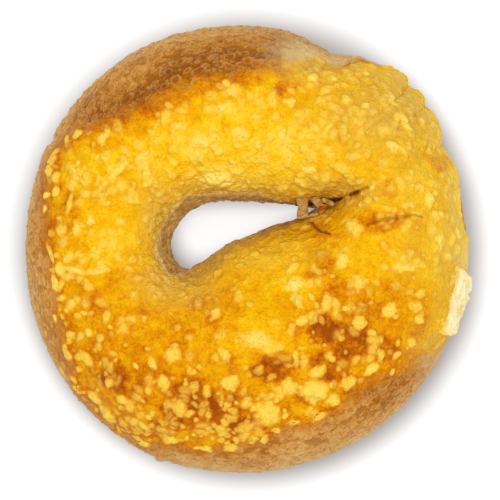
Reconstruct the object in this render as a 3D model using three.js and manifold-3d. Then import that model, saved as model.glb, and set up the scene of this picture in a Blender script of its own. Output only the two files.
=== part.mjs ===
// A cheese-topped bagel: one ring of dough, shaped from a rope whose two ends meet at the right, with the
// grated cheese that melted over it baked into its crust. It is one solid piece.
// Units are millimetres and +Z is up. The origin is the middle of the footprint, on the surface it rests on.
import * as THREE from "three";
import { LoftGeometry } from "three/addons/geometries/LoftGeometry.js";
import { mergeVertices } from "three/addons/utils/BufferGeometryUtils.js";
import Module from "manifold-3d";

// The ring's guide lines, anticlockwise from where the rope's ends meet. At each station: the throat, where
// the hole is narrowest, then the waist, where the ring is widest, both in plan, and the height of the crown.
const STATIONS = [
  { throat: [16.8, 10.4], waist: [50.9, 18.8], crown: 35.5 },
  { throat: [15.6, 11.0], waist: [47.2, 27.8], crown: 36.0 },
  { throat: [12.0, 11.3], waist: [43.4, 36.6], crown: 36.5 },
  { throat: [8.2, 11.6], waist: [36.6, 43.7], crown: 36.0 },
  { throat: [4.4, 11.9], waist: [27.2, 47.6], crown: 35.5 },
  { throat: [1.2, 12.1], waist: [18.4, 49.9], crown: 35.5 },
  { throat: [-1.6, 12.2], waist: [8.4, 54.6], crown: 36.5 },
  { throat: [-7.0, 12.3], waist: [-9.7, 55.2], crown: 36.5 },
  { throat: [-12.2, 11.3], waist: [-26.7, 50.2], crown: 35.5 },
  { throat: [-16.4, 8.5], waist: [-42.1, 38.0], crown: 34.0 },
  { throat: [-19.0, 4.8], waist: [-52.1, 21.2], crown: 33.0 },
  { throat: [-19.9, 1.2], waist: [-55.5, 1.8], crown: 33.0 },
  { throat: [-18.7, -2.6], waist: [-53.0, -17.4], crown: 34.0 },
  { throat: [-16.2, -4.7], waist: [-43.2, -36.2], crown: 36.0 },
  { throat: [-12.5, -3.8], waist: [-25.8, -50.2], crown: 37.5 },
  { throat: [-8.6, -1.1], waist: [-5.8, -55.1], crown: 38.5 },
  { throat: [-4.2, 1.9], waist: [14.2, -52.9], crown: 38.5 },
  { throat: [0.8, 3.9], waist: [33.2, -43.0], crown: 38.0 },
  { throat: [6.4, 5.8], waist: [47.6, -25.8], crown: 37.0 },
  { throat: [13.4, 7.9], waist: [53.8, -3.4], crown: 36.0 },
];
const THROAT_Z = 15.5; // height of the narrowest line of the hole
const WAIST_Z = 15.0; // height of the widest line of the ring
const CROWN_SHARE = 0.5; // the crown's place across the ring, from the throat to the waist
const FOOT_SHARE = 0.2; // the flat base starts this share of the ring's width in from each side
const TOP_POWER = 2.25; // squareness of the section above the waist; 2 is an ellipse
const BOTTOM_POWER = 2.5; // and below it

// The crease where the rope's ends meet, which runs on from the hole's narrow end.
const CREASE = { from: [17.0, 10.6], to: [30.0, 16.2], halfWidth: 3.0, depth: 17 };

// The web of dough left across the hole's narrow end.
const WEB = { centre: [12.7, 9.8, 13.0], radii: [1.4, 3.4, 6.0] };

// A thin, crisp flake of cheese that stands off the ring's right side. It slopes down outwards, and it is
// turned about +Z to follow the ring.
const FLAKE = {
  centre: [50.4, -12.4, 23.6],
  radii: [6.4, 9.2, 1.3],
  slope: THREE.MathUtils.degToRad(45),
  turn: THREE.MathUtils.degToRad(-10),
};

const SECTION_COUNT = 92; // sections round the ring
const QUARTER_STEPS = 6; // steps in each quarter of a section
const FOOT_STEPS = 3; // steps across the flat base
const CRUST = { color: 0xd9952b, roughness: 0.62, metalness: 0 };

// A closed curve through one plan point of every station, with the crown's height as its third coordinate.
function guide(line) {
  const points = STATIONS.map((s) => new THREE.Vector3(s[line][0], s[line][1], s.crown));
  return new THREE.CatmullRomCurve3(points, true, "centripetal");
}

// One quarter of a section from its side, where it is upright, to its top or bottom, where it is level.
// Returns [along, up] shares of the quarter's width and height, leaving out its last point.
function quarter(power) {
  return Array.from({ length: QUARTER_STEPS }, (_, i) => {
    const angle = ((i / QUARTER_STEPS) * Math.PI) / 2;
    return [1 - Math.cos(angle) ** (2 / power), Math.sin(angle) ** (2 / power)];
  });
}

// How deep the crease cuts at a point of the plan.
function creaseDepth(x, y) {
  const from = new THREE.Vector2(...CREASE.from);
  const run = new THREE.Vector2(...CREASE.to).sub(from);
  const offset = new THREE.Vector2(x, y).sub(from);
  const along = offset.dot(run) / run.lengthSq();
  const aside = Math.abs(offset.cross(run)) / run.length();
  const fade = 1 - THREE.MathUtils.smoothstep(along, -0.1, 1);
  return CREASE.depth * fade * Math.exp(-((aside / CREASE.halfWidth) ** 2)) * (along > -0.6 ? 1 : 0);
}

// The section between a throat point and a waist point: up the throat, over the crown, down the outside and
// back along the flat base.
function section(throat, waist, crown) {
  const top = quarter(TOP_POWER);
  const bottom = quarter(BOTTOM_POWER);
  const rise = (share) => THROAT_Z + (crown - THROAT_Z) * share;
  const outerRise = (share) => WAIST_Z + (crown - WAIST_Z) * share;
  const outline = [
    ...top.map(([along, up]) => [CROWN_SHARE * along, rise(up)]),
    ...[...top, [1, 1]].reverse().map(([along, up]) => [1 - (1 - CROWN_SHARE) * along, outerRise(up)]),
    ...bottom.slice(1).map(([along, up]) => [1 - FOOT_SHARE * along, WAIST_Z * (1 - up)]),
    ...Array.from({ length: FOOT_STEPS + 1 }, (_, i) => [
      THREE.MathUtils.lerp(1 - FOOT_SHARE, FOOT_SHARE, i / FOOT_STEPS),
      0,
    ]),
    ...bottom.slice(1).reverse().map(([along, up]) => [FOOT_SHARE * along, THROAT_Z * (1 - up)]),
  ];
  return outline.map(([share, z]) => {
    const plan = throat.clone().lerp(waist, share);
    const above = THREE.MathUtils.smoothstep(z, THROAT_Z, crown);
    return new THREE.Vector3(plan.x, plan.y, z - above * creaseDepth(plan.x, plan.y));
  });
}

// The ring of dough, lofted round its guide lines and closed on its own first section.
function ringGeometry() {
  const throat = guide("throat");
  const waist = guide("waist");
  const sections = Array.from({ length: SECTION_COUNT }, (_, i) => {
    const inner = throat.getPoint(i / SECTION_COUNT);
    return section(inner, waist.getPoint(i / SECTION_COUNT), inner.z);
  });
  return new LoftGeometry([...sections, sections[0]]);
}

// The web of dough, a flattened ball that crosses the narrow end of the hole.
function webGeometry() {
  return new THREE.SphereGeometry(1, 12, 10).scale(...WEB.radii).translate(...WEB.centre);
}

// The cheese flake, a flattened ball with its outer edge tilted down.
function flakeGeometry() {
  return new THREE.SphereGeometry(1, 20, 12)
    .rotateX(Math.PI / 2)
    .scale(...FLAKE.radii)
    .rotateY(FLAKE.slope)
    .rotateZ(FLAKE.turn)
    .translate(...FLAKE.centre);
}

const wasm = await Module();
wasm.setup();

// A three.js geometry as a solid, made from its positions alone so that shared corners merge.
function solid(geometry) {
  const bare = new THREE.BufferGeometry().setAttribute("position", geometry.attributes.position);
  const merged = mergeVertices(bare.setIndex(geometry.index), 1e-3);
  return new wasm.Manifold(
    new wasm.Mesh({
      numProp: 3,
      vertProperties: merged.attributes.position.array,
      triVerts: new Uint32Array(merged.index.array),
    }),
  );
}

// A solid as a three.js geometry with smooth shading.
function geometryOf(shape) {
  const mesh = shape.getMesh();
  const geometry = new THREE.BufferGeometry()
    .setAttribute("position", new THREE.BufferAttribute(mesh.vertProperties, mesh.numProp))
    .setIndex(new THREE.BufferAttribute(mesh.triVerts, 1));
  geometry.computeVertexNormals();
  return geometry;
}

const baked = solid(ringGeometry()).add(solid(webGeometry())).add(solid(flakeGeometry()));
const bagel = new THREE.Mesh(geometryOf(baked), new THREE.MeshStandardMaterial(CRUST));
bagel.name = "bagel";

const part = new THREE.Group();
part.add(bagel);
export default part;
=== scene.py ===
"""A cheese-topped bagel, looked at from straight above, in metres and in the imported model's own frame.

The crust is a fine grid of quads wrapped onto the CAD solid. It is then pushed out along its normals by the
dough's lumps, the melted cheese and its crumbs. Per-vertex attributes tell one procedural material where the
cheese lies and how far it has browned. The torn strands of dough and the browned chip in the hole's narrow
end, and the crisp cheese flake on the right, are pieces of their own.
"""
import itertools
import math

import bpy
import numpy as np
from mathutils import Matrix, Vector
from mathutils.bvhtree import BVHTree


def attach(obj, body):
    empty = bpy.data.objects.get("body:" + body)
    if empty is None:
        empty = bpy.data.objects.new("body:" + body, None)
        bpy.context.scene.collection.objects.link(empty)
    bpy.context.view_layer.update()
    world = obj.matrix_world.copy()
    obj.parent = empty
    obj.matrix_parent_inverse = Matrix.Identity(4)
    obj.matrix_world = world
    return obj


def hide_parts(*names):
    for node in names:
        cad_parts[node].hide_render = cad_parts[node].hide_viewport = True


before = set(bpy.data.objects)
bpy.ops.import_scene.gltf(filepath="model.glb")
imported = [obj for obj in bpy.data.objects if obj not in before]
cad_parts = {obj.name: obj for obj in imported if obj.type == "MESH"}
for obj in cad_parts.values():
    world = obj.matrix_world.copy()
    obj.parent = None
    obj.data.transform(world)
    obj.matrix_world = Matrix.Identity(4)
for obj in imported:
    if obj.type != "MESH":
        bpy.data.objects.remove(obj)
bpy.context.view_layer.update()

MM = 0.001

# The grid of the crust: columns go round the ring and rows go round its cross-section.
COLUMNS, ROWS = ((1000, 340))
RAY_COLUMNS, RAY_ROWS = 360, 120
TOP_SHARE = 0.4  # how much closer together the rows are on top than at the sides
HOLE_CENTRE = np.array([-9.0, 4.0]) * MM  # every wall of the hole can be seen from here
WAIST_HEIGHT = 15.5 * MM  # where the hole is narrowest and the ring widest


# ---------------------------------------------------------------- camera, floor and lights

def make_camera():
    """Straight above, with +Y up in the picture, as far off as a long lens needs for 125 mm across."""
    data = bpy.data.cameras.new("camera")
    camera = bpy.data.objects.new("camera", data)
    bpy.context.scene.collection.objects.link(camera)
    bpy.context.scene.camera = camera
    distance, view_width = 2.0, 125 * MM
    camera.location = (0, 0, WAIST_HEIGHT + distance)
    data.sensor_width = 36.0
    data.lens = data.sensor_width * distance / view_width
    data.clip_end = 50.0


def make_floor():
    """A pale floor that glows a little, more so under the hole and away from the ring, for a soft shadow."""
    mesh = bpy.data.meshes.new("floor")
    half = 15.0
    corners = [(-half, -half, 0), (half, -half, 0), (half, half, 0), (-half, half, 0)]
    mesh.from_pydata(corners, [], [(0, 1, 2, 3)])
    floor = bpy.data.objects.new("floor", mesh)
    floor.location.z = -0.05 * MM
    bpy.context.scene.collection.objects.link(floor)
    net = Net("floor")
    outside = net.between(net.vector("LENGTH", net.place), 54 * MM, 62.5 * MM)
    start, end = Vector((-12.0, 4.8, 0)) * MM, Vector((12.0, 10.2, 0)) * MM
    run = (end - start).normalized()
    offset = net.vector("SUBTRACT", net.place, start)
    along = net.math("MAXIMUM", net.vector("DOT_PRODUCT", offset, run), 0.0)
    along = net.math("MINIMUM", along, (end - start).length)
    nearest = net.node("ShaderNodeVectorMath", {0: run, "Scale": along}, operation="SCALE").outputs["Vector"]
    aside = net.vector("DISTANCE", offset, nearest)
    under_hole = net.between(aside + along * 0.2, 12 * MM, 3 * MM)
    glow = net.math("MAXIMUM", outside * 0.5, under_hole * 0.6)
    net.put(net.shader.inputs["Emission Strength"], 0.12 + glow)
    net.shader.inputs["Base Color"].default_value = (0.45, 0.45, 0.45, 1)
    net.shader.inputs["Roughness"].default_value = 0.9
    net.shader.inputs["Emission Color"].default_value = (0.95, 0.975, 1, 1)
    mesh.materials.append(net.material)


def area_light(name, location, size, power):
    data = bpy.data.lights.new(name, "AREA")
    data.shape = "DISK"
    data.size = size
    data.energy = power
    light = bpy.data.objects.new(name, data)
    light.location = location
    light.rotation_euler = (Vector((0, 0, 0)) - Vector(location)).to_track_quat("-Z", "Y").to_euler()
    light.visible_camera = False
    bpy.context.scene.collection.objects.link(light)


def make_lights():
    area_light("key", (-0.11, 0.17, 1.0), 0.42, 4.75)
    area_light("fill", (0.35, -0.4, 0.85), 0.8, 2.4)
    world = bpy.data.worlds.new("studio")
    world.use_nodes = True
    world.node_tree.nodes["Background"].inputs["Color"].default_value = (1, 1, 1, 1)
    world.node_tree.nodes["Background"].inputs["Strength"].default_value = 0.55
    bpy.context.scene.world = world
    bpy.context.scene.view_settings.view_transform = "Standard"


# ---------------------------------------------------------------- noise

# Random unit vectors for noise() to pick from. Their count is a power of 2.
GRADIENTS = np.random.default_rng(11).normal(size=(4096, 3))
GRADIENTS /= np.linalg.norm(GRADIENTS, axis=1, keepdims=True)


def hashed(cell, seed):
    """Which gradient belongs to each whole-numbered lattice cell."""
    mixed = cell[..., 0] * 73856093 ^ cell[..., 1] * 19349663 ^ cell[..., 2] * 83492791 ^ seed * 2654435
    return (mixed ^ (mixed >> 13)) & (len(GRADIENTS) - 1)


def noise(points, size, seed=0):
    """Smooth noise, mostly from -1 to 1; size is the width of its lumps in metres."""
    grid = points / size
    cell = np.floor(grid).astype(np.int64)
    part = grid - cell
    ease = part**3 * (part * (part * 6 - 15) + 10)
    total = np.zeros(points.shape[:-1])
    for corner in itertools.product((0, 1), repeat=3):
        corner = np.array(corner)
        gradient = GRADIENTS[hashed(cell + corner, seed)]
        weight = np.prod(np.where(corner, ease, 1 - ease), axis=-1)
        total += weight * np.sum(gradient * (part - corner), axis=-1)
    return total * 1.6


def cloud(points, size, octaves, seed=0):
    """Noise with finer octaves on top, each half the size and half the strength of the last."""
    return sum(noise(points, size / 2**k, seed + k) / 2**k for k in range(octaves))


def step(value, low, high):
    """0 below low and 1 above high, eased between them."""
    t = np.clip((value - low) / (high - low), 0, 1)
    return t * t * (3 - 2 * t)


# ---------------------------------------------------------------- the dough's surface, from the CAD solid

def resampled(field, shape, blur):
    """A field that repeats in both directions, blurred by blur samples and resampled to another shape."""
    waves = np.fft.fftshift(np.fft.fft2(field))
    rows = np.fft.fftshift(np.fft.fftfreq(field.shape[0]))[:, None]
    columns = np.fft.fftshift(np.fft.fftfreq(field.shape[1]))[None, :]
    waves *= np.exp(-2 * (math.pi * blur) ** 2 * (rows**2 + columns**2))
    padded = np.zeros(shape, complex)
    starts = [shape[k] // 2 - field.shape[k] // 2 for k in (0, 1)]
    padded[starts[0]:starts[0] + field.shape[0], starts[1]:starts[1] + field.shape[1]] = waves
    scale = shape[0] * shape[1] / field.size
    return np.real(np.fft.ifft2(np.fft.ifftshift(padded))) * scale


def cad_rays(tree):
    """Each column's section centre, as a radius from the hole's centre, and each ray's length from there."""
    angles = np.arange(RAY_COLUMNS) / RAY_COLUMNS * 2 * math.pi
    turns = np.arange(RAY_ROWS) / RAY_ROWS * 2 * math.pi - math.pi / 2
    hole = Vector((*HOLE_CENTRE, WAIST_HEIGHT))
    middles = []
    for angle in angles:
        out = Vector((math.cos(angle), math.sin(angle), 0))
        outer = (tree.ray_cast(hole + out * 0.2, -out)[0] - hole).length
        start = outer - 15 * MM
        inner = start - tree.ray_cast(hole + out * start, -out)[3]
        middles.append((inner + outer) / 2)
    middles = resampled(np.array(middles)[:, None], (RAY_COLUMNS, 1), 4)[:, 0]
    lengths = np.zeros((RAY_COLUMNS, RAY_ROWS))
    for i, angle in enumerate(angles):
        out = Vector((math.cos(angle), math.sin(angle), 0))
        centre = hole + out * middles[i]
        for j, turn in enumerate(turns):
            lengths[i, j] = tree.ray_cast(centre, out * math.cos(turn) + Vector((0, 0, math.sin(turn))))[3]
    return middles, lengths


def dough_surface():
    """The grid of points on the CAD solid, smoothed over its facets and without its thin flake."""
    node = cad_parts["bagel"].data
    tree = BVHTree.FromPolygons([v.co for v in node.vertices], [tuple(p.vertices) for p in node.polygons])
    middles, lengths = cad_rays(tree)
    shifted = np.stack([np.roll(lengths, k, axis=1) for k in range(-4, 5)])
    lengths = np.median(shifted, axis=0)
    lengths = resampled(lengths, (COLUMNS, 4 * ROWS), 1.1)
    middles = resampled(middles[:, None], (COLUMNS, 1), 1)
    angle = (np.arange(COLUMNS) / COLUMNS * 2 * math.pi)[:, None]
    share = np.arange(ROWS) / ROWS
    share = share + TOP_SHARE / (2 * math.pi) * np.sin(2 * math.pi * share)
    lengths = between_rows(lengths, share)
    turn = (share * 2 * math.pi - math.pi / 2)[None, :]
    radius = middles + lengths * np.cos(turn)
    height = WAIST_HEIGHT + lengths * np.sin(turn)
    x = HOLE_CENTRE[0] + radius * np.cos(angle)
    y = HOLE_CENTRE[1] + radius * np.sin(angle)
    return np.stack([x, y, height], axis=-1)


def between_rows(field, share):
    """The field's values at the given shares, 0 to 1, of the way round its rows."""
    place = share % 1 * field.shape[1]
    low = np.floor(place).astype(int)
    part = place - low
    return field[:, low % field.shape[1]] * (1 - part) + field[:, (low + 1) % field.shape[1]] * part


def normals(points):
    """Outward unit normals of the closed grid."""
    along = np.roll(points, -1, axis=0) - np.roll(points, 1, axis=0)
    across = np.roll(points, -1, axis=1) - np.roll(points, 1, axis=1)
    normal = np.cross(along, across)
    return normal / np.linalg.norm(normal, axis=-1, keepdims=True)


def plan_radius(points):
    """Distance in plan from the origin, in mm."""
    return np.hypot(points[..., 0], points[..., 1]) / MM


def plan_angle(points):
    """Angle in plan from +X, from -180 to 180 degrees."""
    return np.degrees(np.arctan2(points[..., 1], points[..., 0]))


# ---------------------------------------------------------------- where things are, in plan, in millimetres

# The edge of the cheese: (angle from +X in degrees, radius from the origin). Past 58 mm it is over the side.
CHEESE_EDGE = [
    (-180, 50), (-168, 49.3), (-155, 51.4), (-147, 53.2), (-140, 55.5), (-132, 56.3), (-120, 55.6),
    (-112, 52.8), (-101, 50.4), (-90, 47.8), (-79, 44.8), (-70, 45.8), (-63, 45.2), (-54, 43.7),
    (-45, 45), (-37, 48.2), (-31, 51), (-26, 60), (-18, 62), (0, 62), (30, 62), (56, 61), (62, 57),
    (68, 52.4), (77, 47.8), (90, 44), (101, 43.6), (112, 43.2), (126, 43.4), (135, 46.3), (144, 50.7),
    (152, 54.3), (160, 53.4), (169, 51.5), (180, 50),
]

# How far down the side the cheese ran: (angle in degrees, lowest height).
CHEESE_SKIRT = [
    (-180, 12), (-48, 24), (-37, 25), (-27, 21), (-17, 16.5), (-8, 11.5), (0, 13), (8, 17), (17, 15.5),
    (26, 10.5), (33, 11.5), (41, 16), (50, 14.5), (57, 19), (64, 26), (74, 20), (90, 12), (180, 12),
]

HOLE_SKIRT = 12.0  # how far down the hole's wall it ran
HOLE_REACH = 30.0  # nearer the origin than this, the edge is the one in the hole

# Browned patches: x, y, radius along x, radius along y, how brown from 0 to 1.
BROWNED = [
    (-33.5, -31, 5, 5, 0.85), (-24, -33, 12, 9, 0.6), (-40, -25, 8, 9, 0.56), (-9, -38.5, 7, 5, 0.9),
    (-3, -43, 8, 4, 0.92), (-16, -38, 9, 7, 0.84), (5, -29.5, 6, 3.5, 0.95), (10, -27, 6, 4, 0.75),
    (6, -47, 8, 2.6, 0.9), (18.5, -19, 4.5, 5, 0.98), (25, -22.5, 8, 6, 0.84), (33, -24, 8, 6, 0.68),
    (20, -29, 7, 6, 0.72), (26, -33, 8, 5, 0.7), (28, -15.5, 7, 4, 0.62), (17, -3.5, 6, 6, 0.6),
    (22, -9, 8, 7, 0.56), (19, 3.5, 6, 4.5, 0.55), (37, -14, 9, 9, 0.42), (33, 7, 11, 4.5, 0.6),
    (34.5, 15, 5, 3, 0.5), (48, 21.5, 3, 4, 0.5), (9.5, 40, 5.5, 4.5, 0.55), (-45.5, 9, 4, 12, 0.5),
    (-45, -8, 5, 8, 0.46), (-30, -14, 8, 5, 0.42), (-20, -20, 9, 7, 0.45), (-9, -16, 9, 5, 0.44),
    (-38.5, 27, 6, 4, 0.5), (-30, 31, 8, 4, 0.45), (-28, 7, 5, 6, 0.32), (-25, 15, 6, 5, 0.34),
    (-14.5, 21.5, 6, 3, 0.32), (22, 27, 12, 5, 0.33), (14, 17, 8, 3.5, 0.3), (30, -38, 9, 4, 0.6),
    (12, -38, 6, 5, 0.62), (-24, -44, 9, 5, 0.62), (42, -2.5, 7, 5, 0.36), (45, 8, 5, 5, 0.3),
    (-33, -39, 6, 5, 0.55),
]

# Smooth pale patches of cheese: x, y, radius along x, radius along y, strength.
PALE = [
    (7, 24, 10, 7, 1), (-12, 26, 9, 5, 1), (-4, 18, 9, 4.5, 1), (-26, 21, 7, 3, 0.6), (2.2, -21, 7, 4, 1),
    (11, -9, 5, 4, 0.9), (3, -12, 5, 4, 0.8), (-33, 4, 5, 5, 0.5), (-3, 33, 6, 3, 0.8),
    (45.5, -2, 3, 8, 0.7), (-36, 22, 6, 3, 0.5), (42, 15, 5, 6, 0.6), (0, -4, 14, 5, 0.6),
    (-21, -10, 7, 4, 0.5), (48, -17, 4, 9, 0.9), (14, -22.5, 4, 3, 0.5), (46, -25, 5, 4, 0.6),
    (-8, -30, 3, 3, 0.5), (51, 2, 4, 14, 0.9), (49, -20, 4, 6, 0.9),
]

# Patches where a dull khaki shade is painted on the cheese and crust, where shade falls: x, y, radius along
# x, radius along y, strength.
KHAKI_SHADE_PATCHES = [
    (-1, 0.5, 16, 5, 0.35), (-18.5, -7.5, 8, 5, 1), (34, 34, 12, 9, 0.85), (20, 14.5, 12, 3.2, 0.8),
    (-22.5, 7, 4, 9, 0.9), (-4, 14.5, 20, 2.4, 0.7), (51, -2, 5, 18, 0.5), (40, 20, 5, 8, 0.4),
    (16.5, 48.5, 10, 5.5, 1), (48, -27, 6, 6, 0.8), (43, 6, 6, 12, 0.3),
]

# Cheese crumbs and blobs: x, y, length, width, turn in degrees.
CRUMBS = [
    (25.8, 5.5, 6, 4.4, -35), (14, 5, 3.2, 2.6, 0), (23, -2.5, 4.4, 3.3, 90), (27.2, -8, 4.1, 3.9, 0),
    (19, -13.2, 5.6, 3.4, 80), (34.5, -14.8, 4.4, 3.8, 40), (32.2, -26, 3.6, 2.5, 95),
    (36.2, -26, 3, 2, 35), (39.8, -22.8, 3.4, 2.6, 80), (29.8, -29.2, 4.4, 2.7, 35),
    (27.2, -18, 4.4, 2.8, 10), (4.2, -40.4, 7.4, 6.4, 50), (16, -34.6, 8.2, 6.2, 0),
    (9.4, -33.8, 5, 4.6, 0), (16.8, -30, 4.6, 3.6, 20), (1.6, -22.4, 10.5, 4.8, -8),
    (11, -8.8, 5, 4.2, 30), (-19, -26, 5.2, 4, 50), (-6.4, -25.8, 4.8, 2.8, -65),
    (-4.8, -32.8, 4.8, 4, -70), (-21.2, -32.4, 3.8, 3, -50), (-24, -28.2, 3.2, 2.2, 110),
    (-17.5, -39.2, 4.6, 3.8, -60), (-35.5, -16.5, 3.6, 2.3, 80), (-44.2, -13.5, 3.6, 2.6, 70),
    (-45, -25.2, 5.6, 2.8, -70), (-40.2, -26.6, 5, 3, -50), (-34.8, -40.2, 6.4, 5.4, -20),
    (-31.4, -36.8, 4, 3.2, 0), (-34.6, -32.8, 3, 2.6, 20), (-26.4, -47, 5.4, 3.2, -30),
    (-10.5, -48.6, 4.4, 2.8, 10), (-26.2, -43, 4, 2.4, -25), (-7.5, -44, 3, 2.4, 0),
    (-1.5, -43.6, 5.6, 3.4, 20), (-13.9, -33.8, 3.4, 3, 0), (-44, -21, 2.8, 2.5, 0),
    (-37, -21.8, 2.8, 2.4, 40), (-39.8, -20.5, 2.3, 2.2, 0), (-46.8, -4.8, 3.8, 2.4, 100),
    (-8.2, -15.8, 3.2, 3, 0), (10.2, 36.5, 3.1, 2.5, 70), (23.5, 37.2, 3, 2.6, 60),
    (14.8, 20, 3.4, 2.3, 10), (37.8, 31.8, 5, 3.2, -60), (28.5, 35.5, 2.2, 2.1, 0), (21, 42, 1.9, 1.8, 0),
    (15.5, 42.5, 3.2, 2.8, 50), (28.5, 43.2, 2.7, 2, 20), (35.2, 36.2, 4, 1.7, -45),
    (42.2, 31.8, 2.1, 2, 0), (44, 12.5, 4.3, 3.4, 80), (47.2, 8.8, 2.3, 2, 0), (46.5, 2.5, 2.5, 1.8, 80),
    (51, 4, 3.5, 3, 60), (35.2, 26, 4.4, 2.2, -15), (44, 24.2, 3.2, 2.6, -30), (38.5, -4.6, 7.6, 2, -8),
    (42.2, -10.8, 3, 2.5, 40), (41.4, -17.2, 4, 2.4, -20), (-36, 28, 4, 2.4, 35), (-12.8, 27, 5, 3.6, 0),
    (-2.5, 29.2, 4.4, 3.2, 0), (-32.5, 19.8, 6.4, 2.1, 42), (-4.2, 39.2, 3.2, 2.4, -60),
    (-5.8, 41.2, 2.4, 2.2, 0), (-7.2, 35.2, 3.6, 2.7, 20), (-26.2, 23.8, 3.6, 2.1, 30),
    (-8.2, 18, 8, 5, 10), (-43, 5.4, 3.9, 2.7, 85), (-39.5, 7.2, 2.9, 2.6, 0),
    (-42.6, 28.6, 3.9, 2.4, 30), (-45.4, 27, 2.8, 1.9, 80), (-48.6, 22.5, 5, 3.4, 65),
    (-49.6, 19.6, 3.4, 2.6, 80), (-47.6, 17.8, 3.8, 2.4, 80), (-47.7, 14.6, 3.2, 1.9, 80),
    (-50.2, 13.6, 2.6, 2.2, 40), (-50.8, 10, 2.7, 1.7, 80), (-44.5, 11.5, 7, 1.6, 80),
    (-49.5, -0.8, 6, 1.5, -50), (-43.5, -5, 6.5, 1.7, -12), (-37.5, -5.2, 7, 1.9, 6),
    (-48.2, -8.4, 5.4, 2.2, -68), (-48, -17, 2.6, 1.8, 80), (-42.8, -32.6, 4.4, 2.2, -50),
    (-38, -36.4, 5.2, 3, -40), (-19, -46.4, 3.6, 2.6, 0), (-4.6, -49, 4, 3.2, -10),
    (3.4, -46.4, 3.4, 2.4, 30), (10.6, -42.6, 3.8, 2.2, 10), (16.8, -41, 4.6, 2.4, 15),
    (20.6, -36.8, 3.2, 4.4, 10), (24.6, -32.8, 4.2, 3, 60), (-46.5, -29.8, 3, 1.6, -62),
    (23.6, -14.6, 2, 1.4, 0), (13, -17.4, 3.8, 3, 30), (20.6, 13.8, 1.8, 1.2, 20),
    (24.4, 13.2, 1.7, 1, 40), (24, 14.6, 1.3, 1.1, 0), (28.3, 14, 1.4, 1, 30), (17, 13.9, 1.5, 1.2, 0),
    (30.4, 15.6, 1.6, 1.2, 60), (19, 14.6, 1.2, 1, 0), (26.6, 15.6, 1.2, 1, 0),
]

# Where small crumbs are strewn: x, y, radius, how many, and how boldly they stand out from 0 to 1.
STREWN = [
    (-22, -41, 13, 110, 0.85), (0, -41, 13, 95, 0.85), (24, -27, 13, 60, 0.85), (-39, -26, 10, 22, 0.8),
    (0, -20, 14, 12, 0.5), (-22, -22, 12, 12, 0.5), (-47, -10, 9, 24, 0.8), (16, -10, 10, 12, 0.6),
    (-42, 16, 10, 34, 0.7), (32, 30, 18, 60, 0.4), (36, -4, 15, 34, 0.5), (42, 12, 12, 20, 0.4),
    (-14, 34, 12, 20, 0.45), (10, 34, 14, 20, 0.45), (-30, 22, 12, 34, 0.4), (-8, 30, 15, 30, 0.3),
    (-38, 2, 10, 24, 0.5), (20, 26, 12, 24, 0.3), (36, 10, 12, 18, 0.4),
]

COBBLE_COUNT = 700  # soft curds near the hole
BLISTER_COUNT = 5200  # blisters of the bare crust

# Creases in the top: path in plan, half-width and depth, all in mm, and how much shade is painted in it.
CREASES = [
    ([(12.4, 11.9), (16.4, 12.3)], 0.7, 4.0, 1.0),
    ([(16.4, 12.3), (19.4, 12.5)], 0.4, 2.5, 0.6),
    ([(19.2, 12.5), (21.5, 12.6), (23.4, 13.1)], 0.7, 5.0, 1.1),
    ([(23.2, 13.1), (25.4, 13.8)], 0.35, 1.6, 0.3),
    ([(25.2, 13.8), (27.6, 14.9)], 0.55, 3.5, 1.0),
    ([(27.6, 15.0), (29.6, 15.8)], 0.35, 1.2, 0.4),
    ([(16.0, 9.4), (20.0, 10.2), (24.0, 12.2), (27.0, 13.6)], 0.5, 1.2, 0.25),
    ([(29.0, 6.2), (33.0, 7.4), (37.0, 8.1), (40.0, 8.7), (42.4, 8.1)], 0.45, 0.7, 0.55),
    ([(14.8, 6.7), (15.8, 6.2), (16.6, 5.2), (17.8, 4.2), (20.2, 3.5)], 0.36, 0.5, 1.3),
]

# Lumps and notches round the side, which shape the outline: angle in degrees, height and width in mm.
BULGES = [
    (50, 0.8, 2.8), (46, -0.9, 1), (42.8, 0.5, 1.6), (39, -0.8, 1), (34, 0.9, 3), (28.7, -0.9, 1.2),
    (67, -0.7, 2), (60, 0.4, 2.4), (20, 0.4, 3), (-113.4, 0.8, 0.7), (151, -0.6, 1.2), (155, 0.4, 1.6),
]
SIDE_RADIUS = 54.0  # the ring's side lies about this far from the origin


def patches(x, y, rows):
    """How strongly any of the patches covers each point of the plan."""
    total = np.zeros(x.shape)
    for px, py, rx, ry, strength in rows:
        near = ((x - px) / rx) ** 2 + ((y - py) / ry) ** 2
        total = np.maximum(total, strength * np.exp(-(near**1.3) * 0.7))
    return total


def cheese_inside(points):
    """How far inside the cheese's edge each point is, in mm; negative on bare crust."""
    x, y, z = (points[..., k] / MM for k in range(3))
    angle = np.degrees(np.arctan2(y, x))
    edge = np.interp(angle, *zip(*CHEESE_EDGE))
    ragged = cloud(points, 7 * MM, 2, 31) * 1.1 + cloud(points, 2.4 * MM, 2, 33) * 0.6
    radius = np.hypot(x, y)
    lowest = np.where(radius > HOLE_REACH, np.interp(angle, *zip(*CHEESE_SKIRT)), HOLE_SKIRT)
    return np.minimum(edge - radius, z - lowest) + ragged


def nearest_on(path, x, y):
    """Distance in plan from each point to a path, and how far along it, 0 to 1, its nearest point is."""
    path = np.array(path, float)
    lengths = np.hypot(*np.diff(path, axis=0).T)
    starts = np.concatenate([[0], np.cumsum(lengths)])
    best = np.full(x.shape, 1e9)
    along = np.zeros(x.shape)
    for k, (low, high) in enumerate(zip(path[:-1], path[1:])):
        run = high - low
        t = np.clip(((x - low[0]) * run[0] + (y - low[1]) * run[1]) / (run @ run), 0, 1)
        distance = np.hypot(x - low[0] - t * run[0], y - low[1] - t * run[1])
        closer = distance < best
        best = np.where(closer, distance, best)
        along = np.where(closer, (starts[k] + t * lengths[k]) / starts[-1], along)
    return best, along


# ---------------------------------------------------------------- lumps stamped on the surface

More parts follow.
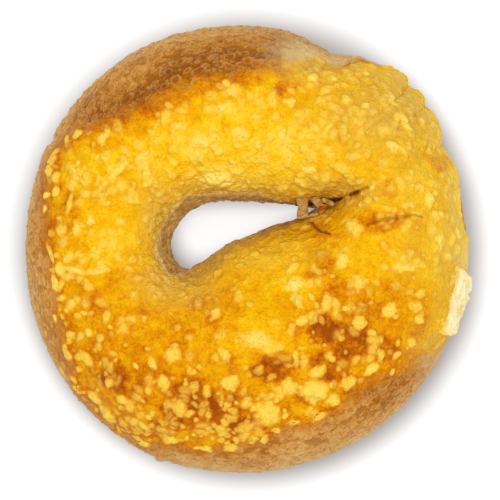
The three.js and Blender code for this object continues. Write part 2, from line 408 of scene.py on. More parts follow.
def tangents(up, turn):
    """Two unit vectors across the surface, the first turned by so many degrees from +X in plan."""
    lengthwise = np.array([math.cos(math.radians(turn)), math.sin(math.radians(turn)), 0])
    lengthwise -= up * (lengthwise @ up)
    lengthwise /= np.linalg.norm(lengthwise)
    return lengthwise, np.cross(up, lengthwise)


def stamp(points, normal, spots, rise, rough, gap, seed):
    """Raises a lobed oval at each spot: (grid index, length, width, turn, its own number). Sizes are in mm.

    Rise gives an oval's height in mm from how far inside its edge a point is, its width and its own number.
    Each oval lies over the ones before it, with a narrow gap round it. Gives five fields: the height in mm;
    the signed distance in mm to the oval's edge, positive inside; the same as a share of its half-width; the
    oval's own number; and how far towards its outer side a point is, 1 being away from the ring's middle.
    """
    height = np.zeros(points.shape[:-1])
    distance = np.full(height.shape, -1.5)
    depth = np.full(height.shape, -1.5)
    tone = np.full(height.shape, 0.5)
    outer = np.zeros(height.shape)
    wobble = cloud(points, 1.4 * MM, 2, seed) * 0.24 * rough
    spacing_i = np.linalg.norm(np.roll(points, -1, 0) - points, axis=-1)
    spacing_j = np.linalg.norm(np.roll(points, -1, 1) - points, axis=-1)
    for index, length, width, turn, own in spots:
        i, j = divmod(index, ROWS)
        reach = (length * 0.65 + 1) * MM
        ni = min(int(reach / spacing_i[i, j]) + 2, COLUMNS // 4)
        nj = min(int(reach / spacing_j[i, j]) + 2, ROWS // 4)
        window = np.ix_(np.arange(i - ni, i + ni + 1) % COLUMNS, np.arange(j - nj, j + nj + 1) % ROWS)
        offset = (points[window] - points[i, j]) / MM
        lengthwise, sideways = tangents(normal[i, j], turn)
        along, aside = offset @ lengthwise / (length / 2), offset @ sideways / (width / 2)
        bearing = np.arctan2(aside, along)
        outline = 1 + 0.1 * rough * sum(np.cos(k * bearing + own * 77 * k) / k**0.5 for k in (2, 3, 5))
        inside = 1 - (np.hypot(along, aside) / outline + wobble[window])
        inner = inside * width / 2
        over = inner > -gap
        outward = points[i, j, :2] / np.linalg.norm(points[i, j, :2])
        raised = np.maximum(rise(inner, width, own), 0.6 * height[window])
        height[window] = np.where(over, raised, height[window])
        distance[window] = np.where(over, inner, np.maximum(distance[window], inner))
        depth[window] = np.maximum(inside, np.where(over, 0.6, 1.0) * depth[window])
        tone[window] = np.where(over, own, tone[window])
        outer[window] = np.where(over, offset[..., :2] @ outward / (width / 2), outer[window])
    return height, distance, depth, tone, outer


def cell_area(points):
    """The area of the grid's cell at each point."""
    return np.linalg.norm(np.cross(np.roll(points, -1, 0) - points, np.roll(points, -1, 1) - points), axis=-1)


def crumbs(points, normal, inside, near_hole):
    """The cheese crumbs: the larger ones where they were placed, and small ones strewn about the cheese."""
    rng = np.random.default_rng(21)
    top = np.where((normal[..., 2] > 0.12).ravel())[0]
    plan = points.reshape(-1, 3)[top, :2] / MM
    spots = []
    room = (cell_area(points) * (inside > 0.4) * (near_hole < 0.45)).ravel()[top]
    for x, y, radius, count, bold in STREWN:
        odds = room * np.exp(-((plan[:, 0] - x) ** 2 + (plan[:, 1] - y) ** 2) / radius**2 * 1.4)
        for index in rng.choice(top, count, p=odds / odds.sum()):
            width = 1.9 - 0.9 * bold + 2.0 * rng.random() ** (1 + bold)
            faint = 1 - bold * rng.random()
            spots.append((index, width * rng.uniform(1, 1.8), width, rng.uniform(0, 180), faint))
    for x, y, length, width, turn in CRUMBS:
        index = top[np.argmin(np.hypot(plan[:, 0] - x, plan[:, 1] - y))]
        spots.append((index, length, width, turn, rng.uniform(0.0, 0.3)))

    def rise(inner, width, own):
        return min(0.32 * width, 0.9) * (1.05 - 0.6 * own) * step(inner, -0.2, 0.1 + 0.38 * width)

    return stamp(points, normal, spots, rise, rough=0.8, gap=0.0, seed=41)


def cobbles(points, normal, room):
    """The low, rounded curds that stayed soft near the hole. Room says how densely they lie at each point."""
    rng = np.random.default_rng(23)
    odds = (cell_area(points) * room * (normal[..., 2] > 0.1)).ravel()
    spots = []
    for index in rng.choice(odds.size, COBBLE_COUNT, p=odds / odds.sum()):
        width = rng.uniform(1.2, 3.2)
        spots.append((index, width * rng.uniform(1, 1.6), width, rng.uniform(0, 180), rng.random()))

    def rise(inner, width, own):
        return (0.2 + 0.15 * own) * step(inner, -0.1, 0.35 * width)

    return stamp(points, normal, spots, rise, rough=1.0, gap=0.0, seed=47)


def blisters(points, normal, inside):
    """The flat blisters of the bare crust, which lie along the ring like pebbles."""
    rng = np.random.default_rng(22)
    outside = plan_radius(points) > 36
    room = (cell_area(points) * (inside < 2.5) * outside * (normal[..., 2] > -0.75)).ravel()
    spots = []
    for index in rng.choice(room.size, BLISTER_COUNT, p=room / room.sum()):
        x, y = points.reshape(-1, 3)[index, :2]
        turn = math.degrees(math.atan2(y, x)) + 90 + rng.normal(0, 18)
        width = 0.8 + 1.8 * rng.random() ** 1.8
        spots.append((index, width * rng.uniform(1.1, 2.1), width, turn, rng.random()))

    def rise(inner, width, own):
        return (0.1 + 0.3 * own) * step(inner, -0.2, 0.35)

    return stamp(points, normal, spots, rise, rough=0.9, gap=0.2, seed=43)


# ---------------------------------------------------------------- relief

def soft_edges(angle):
    """1 where the cheese thins out into the crust instead of ending in a lip, by angle round the ring."""
    top = step(angle, 60, 82) * (1 - step(angle, 136, 148))
    lower_right = step(angle, -62, -50) * (1 - step(angle, -34, -26))
    return np.maximum(top, 0.55 * lower_right)


def hole_wall(points, z):
    """Where the hole's bare wall shows, its rim with a painted highlight, how near it is, and how much shade
    is painted near it.

    The wall shows in plan from about 30 to 230 degrees round the hole, and least about 75 degrees.
    """
    hole_radius = np.hypot(points[..., 0] - HOLE_CENTRE[0], points[..., 1] - HOLE_CENTRE[1])
    throat = hole_radius.min(axis=1, keepdims=True)
    from_throat = (hole_radius - throat) / MM
    turn = np.arange(COLUMNS)[:, None] / COLUMNS * 360
    narrowing = np.exp(-(((turn - 75) / 40) ** 2))
    width = (3.0 + 0.7 * cloud(points, 4 * MM, 2, 8)) * step(turn, 10, 50) * (1 - step(turn, 222, 240))
    width = width * (1 - 0.55 * narrowing)
    wall = step(width - from_throat, -0.3, 0.4) * (z < 34)
    # The rim is a raised lip that also gets a painted highlight.
    rim = np.exp(-(((from_throat - width - 0.6) / 0.6) ** 2)) * (width > 0.8) * (z > 16)
    near = np.exp(-np.maximum(from_throat - width, 0) / 3.0) * (z > 14)
    # Painted shade on the cheese near the hole, less from about 225 degrees round and where the wall narrows.
    hole_shade = near * (1 - 0.85 * step(turn, 225, 250) - 0.2 * narrowing)
    return wall, rim, near, hole_shade


def carve_creases(points, facing_up):
    """How deep the creases cut, in mm, and how much shade is painted in them."""
    x, y = points[..., 0] / MM, points[..., 1] / MM
    cut = np.zeros(x.shape)
    crease_shade = np.zeros(x.shape)
    wander = cloud(points, 1.6 * MM, 2, 51)
    for path, half_width, depth, darkness in CREASES:
        distance, along = nearest_on(path, x, y)
        width = half_width * (1 + 0.5 * wander) * np.clip(4 * along * (1 - along) + 0.35, 0.35, 1)
        groove = np.exp(-((distance / width) ** 2)) * step(facing_up, 0.0, 0.3)
        cut = np.maximum(cut, depth * groove)
        crease_shade = np.maximum(crease_shade, darkness * groove)
    return cut, crease_shade


def browning(points, inside, thin):
    """How far the cheese has browned, from 0 to about 1."""
    x, y = points[..., 0] / MM, points[..., 1] / MM
    x = x + 2.4 * cloud(points, 6 * MM, 3, 61)
    y = y + 2.4 * cloud(points, 6 * MM, 3, 64)
    grain = cloud(points, 3.5 * MM, 3, 67)
    base = 0.31 + 0.18 * step(-y, 0, 14)
    heat = np.maximum(base, patches(x, y, BROWNED) * (0.97 + 0.16 * grain))
    heat -= 0.2 * patches(x, y, PALE)
    outside, within = np.minimum(inside - 0.8, 0), np.maximum(inside - 0.8, 0)
    edge = np.exp(-((outside / (2.5 + 12 * thin)) ** 2)) * np.exp(-((within / (3.2 + 1.5 * thin)) ** 2))
    over_side = step(plan_radius(points), 50, 54) * (inside < 20) * step(x, 20, 35)
    heat = np.maximum(heat, (0.6 + 0.1 * grain) * edge * (1 - 0.8 * over_side))
    return heat - 0.12 * over_side + 0.08 * cloud(points, 5 * MM, 2, 70)


def dough_lumps(points, facing_up, cover, underside):
    """The dough's own swells, and the lumps and notches round its side, in mm."""
    z = points[..., 2] / MM
    lumps = (cloud(points, 16 * MM, 2, 3) * 0.6 - 0.4 - 0.65 * cover) * (1 - underside) * step(z, 12, 22)
    sideways = np.sqrt(np.clip(1 - facing_up**2, 0, 1)) * step(plan_radius(points), 36, 44)
    angle = plan_angle(points)
    for bulge_angle, height, width in BULGES:
        aside = (angle - bulge_angle) / math.degrees(width / SIDE_RADIUS)
        lumps += height * np.exp(-(aside**2)) * sideways * step(z, 6, 14)
    return lumps


def folds(points):
    """1 along the fine folds of the cheese, 0 between them."""
    places = points + 2 * MM * cloud(points, 5 * MM, 2, 80)[..., None]
    return np.exp(-((noise(places * np.array([1, 1.5, 1]), 2.8 * MM, 81) / 0.13) ** 2))


def curds(points):
    """The melted lumps of the cheese, and its shreds that still show, in mm."""
    shreds = 1 - np.abs(noise(points + 4 * MM * cloud(points, 12 * MM, 1, 75)[..., None], 4.5 * MM, 9))
    return cloud(points, 2.6 * MM, 3, 5) * 0.28 + shreds**2 * 0.45


def wrinkles(points, facing_up):
    """The level wrinkles of the crust's sides, in mm."""
    squashed = points * np.array([1, 1, 2.2])
    ridges = (1 - np.abs(noise(squashed, 3.2 * MM, 15))) ** 2 * 0.45
    ridges += cloud(squashed, 1.8 * MM, 2, 13) * 0.18
    return ridges * (1 - step(facing_up, 0.3, 0.8))


def pits(points):
    """The pits and shallow dents of the underside, in mm."""
    dents = step(cloud(points, 5 * MM, 2, 19), 0, 0.6) * 0.25
    return np.minimum(noise(points, 1.3 * MM, 16), 0) * 0.3 - dents


def relief(points):
    """Moves the dough's surface out into its lumps, cheese, crumbs and creases, and says what lies where."""
    x, y, z = (points[..., k] / MM for k in range(3))
    normal = normals(points)
    facing_up = normal[..., 2]
    inside = cheese_inside(points)
    thin = soft_edges(plan_angle(points))
    cover = step(inside, -0.3, 0.9) * (1 - thin) + step(inside, -3.0, 5.0) * thin
    underside = step(-facing_up, 0.3, 0.8)

    lumps = dough_lumps(points, facing_up, cover, underside)
    points = points + normal * (lumps * MM)[..., None]
    normal = normals(points)
    wall, rim, near_hole, hole_shade = hole_wall(points, z)

    crumb_height, _, crumb, tone, _ = crumbs(points, normal, inside, near_hole)
    crumb = np.where(wall > 0.5, -1.5, crumb)
    # Painted shade: a dull khaki tint on the listed patches and near the hole. The same mask lowers the curds
    # and adds folds there.
    khaki_shade = np.maximum(patches(x, y, KHAKI_SHADE_PATCHES) * step(z, 14, 26), near_hole * 0.95) * (1 - wall)
    cobble_height, _, cobble, _, _ = cobbles(points, normal, np.maximum(near_hole, 0.3 * khaki_shade) * cover)
    blister_height, blister, _, blister_tone, blister_outer = blisters(points, normal, inside)
    crumb_height *= 1 + 0.35 * cloud(points, 1.2 * MM, 2, 45)
    crease, crease_shade = carve_creases(points, facing_up)

    fold = folds(points) * (0.12 + 0.35 * khaki_shade) * (1 - wall)
    rough = near_hole * step(z, 18, 26) * cloud(points, 1.8 * MM, 2, 77) * 0.12 - fold * 0.2
    bead = np.exp(-(((inside - 1.0) / 0.8) ** 2)) * 0.5 * (1 - thin)
    melted = curds(points) * step(z, 9, 19) * (1 - 0.4 * khaki_shade)
    cheese = cover * (0.35 - 0.2 * thin + melted + rough + bead + cobble_height)
    crust = (1 - cover) * (1 - underside) * (blister_height + wrinkles(points, facing_up))

    total = (cheese + crust) * (1 - wall) + underside * pits(points) + crumb_height * (1 - wall) + rim * 0.3
    total += wall * cloud(points * np.array([1, 1, 2]), 1.8 * MM, 2, 17) * 0.45
    points = points + normal * (total * MM)[..., None]
    points[..., 2] -= crease * MM
    points[..., 2] = np.maximum(points[..., 2], 0)
    return points, {
        "cheese": inside,
        "thin": thin,
        "crumb": crumb,
        "tone": tone,
        "browned": browning(points, inside, thin),
        "crease_shade": crease_shade,
        "khaki_shade": khaki_shade,
        "cobble": cobble,
        "hole_shade": hole_shade,
        "fold": fold * cover,
        "blister": blister,
        "blister_outer": blister_outer,
        "blister_tone": blister_tone,
        "wall": wall,
        "rim": rim,
        "steep": 1 - facing_up,
        "under": underside,
    }


# ---------------------------------------------------------------- meshes

def grid_faces(columns, rows):
    """The quads of a grid that closes in both directions."""
    i, j = np.meshgrid(np.arange(columns), np.arange(rows), indexing="ij")
    i_next, j_next = (i + 1) % columns, (j + 1) % rows
    corners = [i * rows + j, i_next * rows + j, i_next * rows + j_next, i * rows + j_next]
    return np.stack(corners, axis=-1).reshape(-1, 4)


def crust_uv(columns, rows):
    """The grid laid out flat for the bake, as two long strips, one for each half of the ring."""
    i, j = np.meshgrid(np.arange(columns), np.arange(rows), indexing="ij")
    half = columns // 2
    strip = i // half
    u = ((i % half)[..., None] + np.array([0, 1, 1, 0])) / half
    v = (j[..., None] + np.array([0, 0, 1, 1])) / rows
    return np.stack([0.004 + 0.992 * u, (strip[..., None] + 0.008 + 0.984 * v) / 2], axis=-1).reshape(-1, 2)


def new_piece(name, points, faces, material, attributes=None):
    """A smooth-shaded mesh object that rides on the body, with its per-vertex attributes."""
    mesh = bpy.data.meshes.new(name)
    mesh.from_pydata(points.reshape(-1, 3).tolist(), [], [list(map(int, face)) for face in faces])
    mesh.polygons.foreach_set("use_smooth", np.ones(len(mesh.polygons), bool))
    for key, values in (attributes or {}).items():
        layer = mesh.attributes.new(key, "FLOAT", "POINT")
        layer.data.foreach_set("value", np.asarray(values, np.float32).ravel())
    mesh.materials.append(material)
    mesh.validate()
    piece = bpy.data.objects.new(name, mesh)
    bpy.context.scene.collection.objects.link(piece)
    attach(piece, "root")
    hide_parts("bagel")
    return piece


# ---------------------------------------------------------------- materials

def colour(red, green, blue):
    """An sRGB colour from 0 to 255 as the linear colour that a shader takes."""
    parts = [c / 255 for c in (red, green, blue)]
    return tuple(c / 12.92 if c <= 0.04045 else ((c + 0.055) / 1.055) ** 2.4 for c in parts) + (1.0,)


class Value:
    """What a node gives. A number takes part in sums as a plain number does."""

    def __init__(self, net, socket):
        self.net = net
        self.socket = socket

    def __add__(self, other):
        return self.net.math("ADD", self, other)

    def __sub__(self, other):
        return self.net.math("SUBTRACT", self, other)

    def __rsub__(self, other):
        return self.net.math("SUBTRACT", other, self)

    def __mul__(self, other):
        return self.net.math("MULTIPLY", self, other)

    __radd__ = __add__
    __rmul__ = __mul__


class Net:
    """Short calls that add nodes to one material. Inputs may be numbers, colours or other nodes' outputs."""

    def __init__(self, name):
        self.material = bpy.data.materials.new(name)
        self.material.use_nodes = True
        self.tree = self.material.node_tree
        self.shader = self.tree.nodes["Principled BSDF"]
        self.place = self.node("ShaderNodeTexCoord").outputs["Object"]

    def node(self, kind, inputs=None, **settings):
        made = self.tree.nodes.new(kind)
        for key, value in settings.items():
            setattr(made, key, value)
        for key, value in (inputs or {}).items():
            self.put(made.inputs[key], value)
        return made

    def put(self, socket, value):
        if isinstance(value, Value):
            value = value.socket
        if isinstance(value, bpy.types.NodeSocket):
            self.tree.links.new(value, socket)
        else:
            socket.default_value = value

    def attribute(self, name):
        return Value(self, self.node("ShaderNodeAttribute", attribute_name=name).outputs["Fac"])

    def math(self, operation, *values):
        inputs = dict(enumerate(values))
        return Value(self, self.node("ShaderNodeMath", inputs, operation=operation).outputs[0])

    def vector(self, operation, *values):
        """Vector maths: the number it gives, or else the vector."""
        made = self.node("ShaderNodeVectorMath", dict(enumerate(values)), operation=operation)
        return Value(self, made.outputs["Vector" if operation in ("SUBTRACT", "MULTIPLY") else "Value"])

    def between(self, value, low, high):
        """0 where value is at low, 1 where it is at high, eased."""
        inputs = {"Value": value, "From Min": low, "From Max": high}
        made = self.node("ShaderNodeMapRange", inputs, interpolation_type="SMOOTHSTEP")
        return Value(self, made.outputs["Result"])

    def mix(self, factor, first, second):
        """The first colour where factor is 0, the second where it is 1."""
        made = self.node("ShaderNodeMix", data_type="RGBA")
        for index, value in ((0, factor), (6, first), (7, second)):
            self.put(made.inputs[index], value)
        return made.outputs[2]

    def ramp(self, value, *stops):
        """A colour ramp through stops of (position, sRGB colour), the first at 0 and the last at 1."""
        made = self.node("ShaderNodeValToRGB", {"Fac": value})
        elements = made.color_ramp.elements
        elements[0].color = colour(*stops[0][1])
        elements[-1].color = colour(*stops[-1][1])
        for position, tint in stops[1:-1]:
            elements.new(position).color = colour(*tint)
        return made.outputs["Color"]

    def noise(self, size, detail=2.0, roughness=0.55, distortion=0.0, stretch=(1, 1, 1)):
        """Noise about 0, mostly from -1 to 1, whose lumps are size metres wide."""
        inputs = {
            "Vector": self.vector("MULTIPLY", self.place, stretch),
            "Scale": 1 / size,
            "Detail": detail,
            "Roughness": roughness,
            "Distortion": distortion,
        }
        made = self.node("ShaderNodeTexNoise", inputs)
        return self.math("MULTIPLY_ADD", made.outputs["Fac"], 4.0, -2.0)

    def cells(self, size):
        """How far each place is from the middle of its cell, as a share of the cells' size in metres."""
        inputs = {"Vector": self.place, "Scale": 1 / size}
        return Value(self, self.node("ShaderNodeTexVoronoi", inputs, feature="SMOOTH_F1").outputs["Distance"])


def cheese_colour(net):
    """Cheese that goes from yellow to brown as it bakes, with a painted khaki shade in patches and near the
    hole, painted shade round the crumbs, and paler curds and crumbs.
    """
    coarse, middling, fine = net.noise(3.6 * MM, 3), net.noise(1.5 * MM, 2, 0.5, 1.2), net.noise(0.5 * MM, 2)
    curd = net.cells(1.1 * MM) - 0.45
    vein = net.between(net.math("ABSOLUTE", net.noise(1.4 * MM, 2, 0.5, 1.6)), 0.35, 0.0)
    browned, crumb, tone = net.attribute("browned"), net.attribute("crumb"), net.attribute("tone")
    # Painted shade: the browned cheese is darkened just round each crumb.
    shade_round_crumbs = net.between(crumb, -1.2, -0.1) * net.between(browned, 0.3, 0.6)
    mottle = coarse * 0.14 + middling * 0.12 + fine * 0.015 + curd * 0.04 + vein * 0.1 + shade_round_crumbs * 0.08
    golden = net.ramp(
        browned + mottle * (0.55 + browned),
        (0.0, (254, 216, 94)),
        (0.15, (250, 201, 38)),
        (0.3, (243, 184, 6)),
        (0.45, (235, 165, 0)),
        (0.6, (222, 140, 0)),
        (0.75, (204, 114, 0)),
        (0.9, (184, 94, 2)),
        (1.0, (160, 74, 4)),
    )
    # The dull khaki colour of the painted shade.
    khaki_shade = net.ramp(
        0.55 + middling * 0.22 + coarse * 0.16 - curd * 0.4,
        (0.0, (176, 128, 44)),
        (0.5, (220, 172, 60)),
        (1.0, (244, 206, 96)),
    )
    golden = net.mix(net.attribute("khaki_shade") * 0.85, golden, khaki_shade)
    # Painted shade near the hole: a darker, duller colour.
    hole_shade_colour = net.mix(net.between(middling, -0.8, 0.8), colour(140, 102, 40), colour(206, 162, 80))
    golden = net.mix(net.between(net.attribute("hole_shade"), 0.25, 1.1), golden, hole_shade_colour)
    golden = net.mix(net.attribute("fold") * 0.2, golden, colour(176, 116, 22))
    cobble = net.attribute("cobble")
    seam = net.between(cobble, -0.4, 0.0) * (1 - net.between(cobble, 0.1, 0.5))
    golden = net.mix(seam * 0.14, golden, colour(186, 130, 34))
    golden = net.mix(net.between(cobble, 0.1, 0.9) * 0.3, golden, colour(255, 222, 116))
    crumb_edge = 1 - net.between(crumb, 0.0, 0.6)
    crumb_tint = net.ramp(
        browned * 0.6 + coarse * 0.06 + middling * 0.06 + tone * 0.25 + crumb_edge * 0.26 - 0.1,
        (0.0, (254, 222, 104)),
        (0.35, (251, 206, 70)),
        (0.65, (241, 178, 56)),
        (1.0, (224, 146, 50)),
    )
    inner = crumb + fine * 0.05 + middling * 0.12
    strength = 1.0 - tone * 0.45
    return net.mix(net.between(inner, -0.12, 0.3 + tone * 0.35) * strength, golden, crumb_tint)


def crust_colour(net):
    """Bare crust, darker towards the cheese and paler down its side, with the mottled underside."""
    coarse, middling, fine = net.noise(9 * MM, 3), net.noise(1.8 * MM, 3), net.noise(0.45 * MM, 2)
    cheese, thin, khaki_shade = net.attribute("cheese"), net.attribute("thin"), net.attribute("khaki_shade")
    near_cheese = net.between(cheese, -13.0, -1.0)
    edgeward = net.between(net.attribute("steep"), 0.4, 0.95)
    bake = 0.33 + coarse * 0.12 + middling * 0.13 + fine * 0.08 + near_cheese * (0.12 + thin * 0.3)
    bake = bake + thin * 0.16 - edgeward * 0.16 + (net.attribute("blister_tone") - 0.5) * 0.3
    bare = net.ramp(
        bake,
        (0.0, (230, 190, 122)),
        (0.2, (222, 166, 86)),
        (0.42, (206, 140, 54)),
        (0.65, (182, 110, 22)),
        (0.85, (156, 86, 10)),
        (1.0, (126, 60, 2)),
    )
    blister = net.attribute("blister") + fine * 0.05
    # A pale line on each blister's outer side: partly paler thin skin, partly a painted highlight on the
    # outward-facing edge.
    line = net.between(blister, -0.1, 0.1) * (1 - net.between(blister, 0.12, 0.6))
    line = line * net.between(net.attribute("blister_outer"), -1.3, 0.5)
    gap = (1 - net.between(blister, -0.2, 0.05)) * 0.38
    bare = net.mix(gap, bare, colour(138, 72, 8))
    bare = net.mix(line * 0.38, bare, colour(232, 184, 114))
    # Painted shade: where the khaki shade lies, the crust turns a dull pale khaki too.
    bare = net.mix(net.between(middling * 0.15 + khaki_shade * 0.7, 0.0, 0.85), bare, colour(227, 195, 134))
    streak = net.noise(1.7 * MM, 3, stretch=(1, 1, 3.5))
    ridge = net.between(net.math("ABSOLUTE", streak), 0.28, 0.0)
    bare = net.mix(ridge * edgeward * 0.55, bare, colour(234, 204, 150))
    band = net.between(cheese, -2.6, -0.2) * (1 - thin) * 0.55 * (1 - khaki_shade)
    bare = net.mix(band, bare, colour(196, 112, 14))
    under = net.ramp(
        0.5 + coarse * 0.3 + middling * 0.24 + fine * 0.14,
        (0.0, (222, 180, 118)),
        (0.5, (190, 134, 70)),
        (1.0, (134, 80, 32)),
    )
    return net.mix(net.attribute("under"), bare, under)


def wall_colour(net):
    """The bare, shaded wall of the hole."""
    streaks, fine = net.noise(1.6 * MM, 3, stretch=(1, 1, 0.5)), net.noise(0.6 * MM)
    return net.ramp(
        0.5 + streaks * 0.32 + fine * 0.2,
        (0.0, (150, 100, 30)),
        (0.5, (206, 160, 78)),
        (1.0, (246, 214, 150)),
    )


def finish(net, tint, rougher):
    """Sets the colour, the shine and the fine grain of the crust and of the pieces that lie on it."""
    net.put(net.shader.inputs["Base Color"], tint)
    net.put(net.shader.inputs["Roughness"], 0.5 + net.noise(2.5 * MM, 3) * 0.1 + rougher)
    net.shader.inputs["Specular IOR Level"].default_value = 0.11
    net.shader.inputs["Specular Tint"].default_value = (1.0, 0.72, 0.3, 1.0)
    grain = (
        net.noise(0.45 * MM, 3, 0.6) * 0.14
        + net.noise(1.3 * MM, 2, 0.5, 1.4) * 0.8
        - net.cells(1.1 * MM) * 0.4
    )
    inputs = {"Height": grain, "Distance": 0.3 * MM, "Strength": 0.7}
    net.put(net.shader.inputs["Normal"], net.node("ShaderNodeBump", inputs).outputs["Normal"])


def crust_material():
    net = Net("baked_crust")
    cheese, thin = net.attribute("cheese"), net.attribute("thin")
    crisp = net.between(cheese + net.noise(1.2 * MM, 3) * 0.5, -0.25, 0.3)
    soft = net.between(cheese + net.noise(1.8 * MM, 4, 0.65) * 1.4, -3.2, 1.6)
    covered = crisp * (1 - thin) + soft * thin
    covered = net.math("MAXIMUM", covered, net.between(net.attribute("crumb"), -0.1, 0.4))
    tint = net.mix(covered, crust_colour(net), cheese_colour(net))
    tint = net.mix(net.attribute("wall"), tint, wall_colour(net))
    # Painted highlight: a pale band along the hole's rim, over its raised lip.
    tint = net.mix(net.attribute("rim") * 0.6, tint, colour(230, 192, 116))
    # Painted shade in the creases.
    tint = net.mix(net.math("MINIMUM", net.attribute("crease_shade"), 0.9), tint, colour(146, 72, 4))
    finish(net, tint, covered * -0.08)
    return net.material


# ---------------------------------------------------------------- pieces

def make_crust():
    points, attributes = relief(dough_surface())
    piece = new_piece("bagel_crust", points, grid_faces(COLUMNS, ROWS), crust_material(), attributes)
    layer = piece.data.uv_layers.new(name="OFBake")
    layer.data.foreach_set("uv", crust_uv(COLUMNS, ROWS).astype(np.float32).ravel())


def round_faces(columns, rows):
    """The faces of a ball: rows of points round it, a pole before the first row and one after the last."""
    last = columns * rows + 1
    row = np.arange(columns)
    beside = (row + 1) % columns
    faces = [[0, 1 + b, 1 + a] for a, b in zip(row, beside)]
    for k in range(rows - 1):
        near, far = 1 + k * columns, 1 + (k + 1) * columns
        faces += [[near + a, near + b, far + b, far + a] for a, b in zip(row, beside)]
    start = 1 + (rows - 1) * columns
    return faces + [[start + a, start + b, last] for a, b in zip(row, beside)]


def round_piece(name, place, material, columns=48, rows=40):
    """A closed lump. place gives points, in mm, for a share of the way along it and an angle round it."""
    turns = np.arange(columns) / columns * 2 * math.pi
    along, angle = np.meshgrid((np.arange(rows) + 0.5) / rows, turns, indexing="ij")
    body = place(along, angle).reshape(-1, 3)
    poles = [place(np.array([[share]]), np.array([[0.0]])).reshape(1, 3) for share in (0.0, 1.0)]
    new_piece(name, np.concatenate([poles[0], body, poles[1]]) * MM, round_faces(columns, rows), material)


def strand(name, start, middle, end, width, depth, seed, material):
    """A torn strand of dough that runs along a bend through three points, wider at its two roots."""
    ends = [np.array(point, float) for point in (start, middle, end)]

    def place(along, angle):
        t = along[..., None]
        spine = (1 - t) ** 2 * ends[0] + 2 * t * (1 - t) * ends[1] + t**2 * ends[2]
        run = ends[2] - ends[0]
        side = np.cross(run, (0, 0, 1))
        side /= np.linalg.norm(side)
        up = np.cross(side, run) / np.linalg.norm(run)
        close = np.sqrt(np.clip(1 - np.abs(2 * along - 1) ** 6, 0, 1)) * (1 + 0.4 * (2 * along - 1) ** 2)
        ridged = close * (1 + 0.1 * np.cos(3 * angle + seed))
        ring = np.cos(angle)[..., None] * side * width / 2 + np.sin(angle)[..., None] * up * depth / 2
        points = spine + ring * ridged[..., None]
        rough = cloud(points * MM, 1.6 * MM, 2, seed)[..., None] * 0.2 * close[..., None]
        return points + ring / np.linalg.norm(ring, axis=-1, keepdims=True) * rough

    round_piece(name, place, material)


def strand_material():
    net = Net("dough_strand")
    tint = net.ramp(
        0.5 + net.noise(1.2 * MM, 3) * 0.4 + net.noise(0.4 * MM) * 0.15,
        (0.0, (146, 106, 44)),
        (0.5, (196, 154, 82)),
        (1.0, (230, 200, 138)),
    )
    finish(net, tint, 0.05)
    return net.material


def chip_material():
    net = Net("browned_chip")
    grain = 0.5 + net.noise(1.2 * MM)
    finish(net, net.ramp(grain, (0.0, (158, 76, 6)), (1.0, (208, 122, 24))), 0.0)
    return net.material


# The torn strands that bridge the narrow end of the hole: name, then the start, middle and end of its bend,
# its width and its depth in mm, and its seed.
STRANDS = [
    ("strand_wide", (12.6, 13.6, 22.0), (13.5, 10.4, 20.6), (12.7, 7.8, 19.0), 2.5, 1.4, 91),
    ("strand_lower", (12.8, 8.3, 18.4), (14.6, 8.3, 19.6), (17.2, 9.1, 20.4), 0.8, 0.9, 92),
    ("strand_inner", (15.6, 13.2, 22.0), (17.4, 11.8, 21.0), (18.4, 9.4, 20.8), 1.7, 1.3, 93),
    ("strand_upper", (18.0, 12.8, 21.4), (19.4, 12.0, 21.0), (21.0, 11.2, 22.6), 1.0, 0.9, 94),
]
CHIP = ("chip", (17.2, 10.0, 21.4), (18.3, 10.7, 21.8), (19.3, 11.1, 22.0), 1.1, 0.8, 95)


def make_strands():
    """The torn strands of dough and the browned chip among them."""
    dough = strand_material()
    for row in STRANDS:
        strand(*row, dough)
    strand(*CHIP, chip_material())


# The flake's outline in plan, in mm, anticlockwise; its inner half is buried in the cheese.
FLAKE_OUTLINE = [
    (47, -20.6), (50.4, -21.6), (51.4, -20.9), (51.9, -19.4), (52.2, -17.6), (53.2, -16.1), (53.4, -14.6),
    (54.3, -13.2), (54.6, -11), (55.4, -10), (55.4, -8.4), (55.1, -7), (53.9, -5.3), (52.4, -4.4),
    (49, -4), (46, -8), (44.8, -14),
]
FLAKE_MIDDLE = np.array([50.4, -12.4])
FLAKE_REACH = np.linalg.norm(FLAKE_MIDDLE)  # from the origin to its middle
FLAKE_OUTWARD = FLAKE_MIDDLE / FLAKE_REACH
FLAKE_HEIGHT = 24.0  # at its middle
FLAKE_SLOPE, FLAKE_CURL = 0.9, 0.05  # how it falls outwards: per mm, and per mm squared


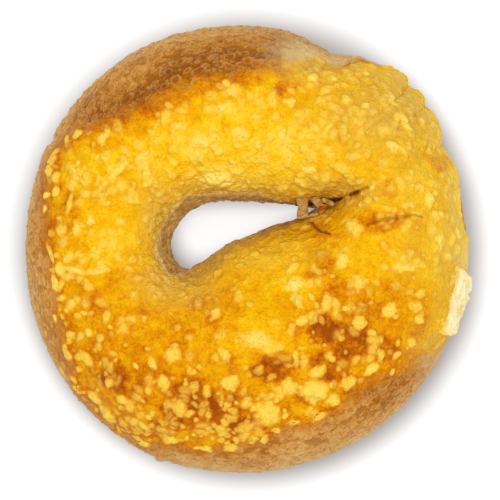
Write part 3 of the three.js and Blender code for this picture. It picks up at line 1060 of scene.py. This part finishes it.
def flake_material():
    """Cream where the sheet stands free, and golden where it meets the cheese of the crust."""
    net = Net("cheese_flake")
    run = net.vector("DOT_PRODUCT", net.place, (*FLAKE_OUTWARD, 0))
    run = run + net.noise(2.0 * MM) * (0.5 * MM)
    crisp = net.between(run, (FLAKE_REACH - 0.6) * MM, (FLAKE_REACH + 0.8) * MM)
    aside = net.vector("DOT_PRODUCT", net.place, (-FLAKE_OUTWARD[1], FLAKE_OUTWARD[0], 0))
    aside = aside + net.noise(2.0 * MM) * (0.6 * MM)
    crisp = crisp * net.between(net.math("ABSOLUTE", aside), 9.2 * MM, 7.4 * MM)
    tint = net.ramp(
        0.5 + net.noise(3.0 * MM, 3) * 0.4 + net.noise(0.6 * MM) * 0.2,
        (0.0, (244, 212, 120)),
        (0.5, (255, 240, 182)),
        (1.0, (255, 248, 214)),
    )
    blotch = net.between(net.noise(2.6 * MM, 3), 0.1, 1.2)
    crisp = crisp * (1 - blotch * 0.6)
    finish(net, net.mix(crisp, colour(246, 204, 92), tint), 0.0)
    return net.material


def make_flake():
    """The crisp sheet of cheese that stands off the ring's right side. It slopes down outwards."""
    outline = np.array(FLAKE_OUTLINE) - FLAKE_MIDDLE
    bearings = np.arctan2(outline[:, 1], outline[:, 0])
    reaches = np.hypot(outline[:, 0], outline[:, 1])
    order = np.argsort(bearings)

    def place(along, angle):
        bearing = (angle + math.pi) % (2 * math.pi) - math.pi
        edge = np.interp(bearing, bearings[order], reaches[order], period=2 * math.pi)
        edge += 0.18 * np.sin(9 * angle + 1) + 0.12 * np.sin(17 * angle) + 0.08 * np.sin(31 * angle + 1)
        share = np.sin(along * math.pi) ** 0.7
        plan = FLAKE_MIDDLE + (edge * share)[..., None] * np.stack([np.cos(angle), np.sin(angle)], axis=-1)
        run = (plan - FLAKE_MIDDLE) @ FLAKE_OUTWARD
        height = FLAKE_HEIGHT - FLAKE_SLOPE * run - FLAKE_CURL * run**2 + 0.55 * np.cos(along * math.pi)
        points = np.stack([plan[..., 0], plan[..., 1], height], axis=-1)
        wave = cloud(points * MM * np.array([1, 1, 0]), 3.4 * MM, 3, 96)
        points[..., 2] += wave * (0.6 + 0.8 * step(-run, -2.5, 1.0))
        return points

    round_piece("cheese_flake", place, flake_material(), columns=160, rows=80)


make_camera()
make_floor()
make_lights()
make_crust()
make_strands()
make_flake()
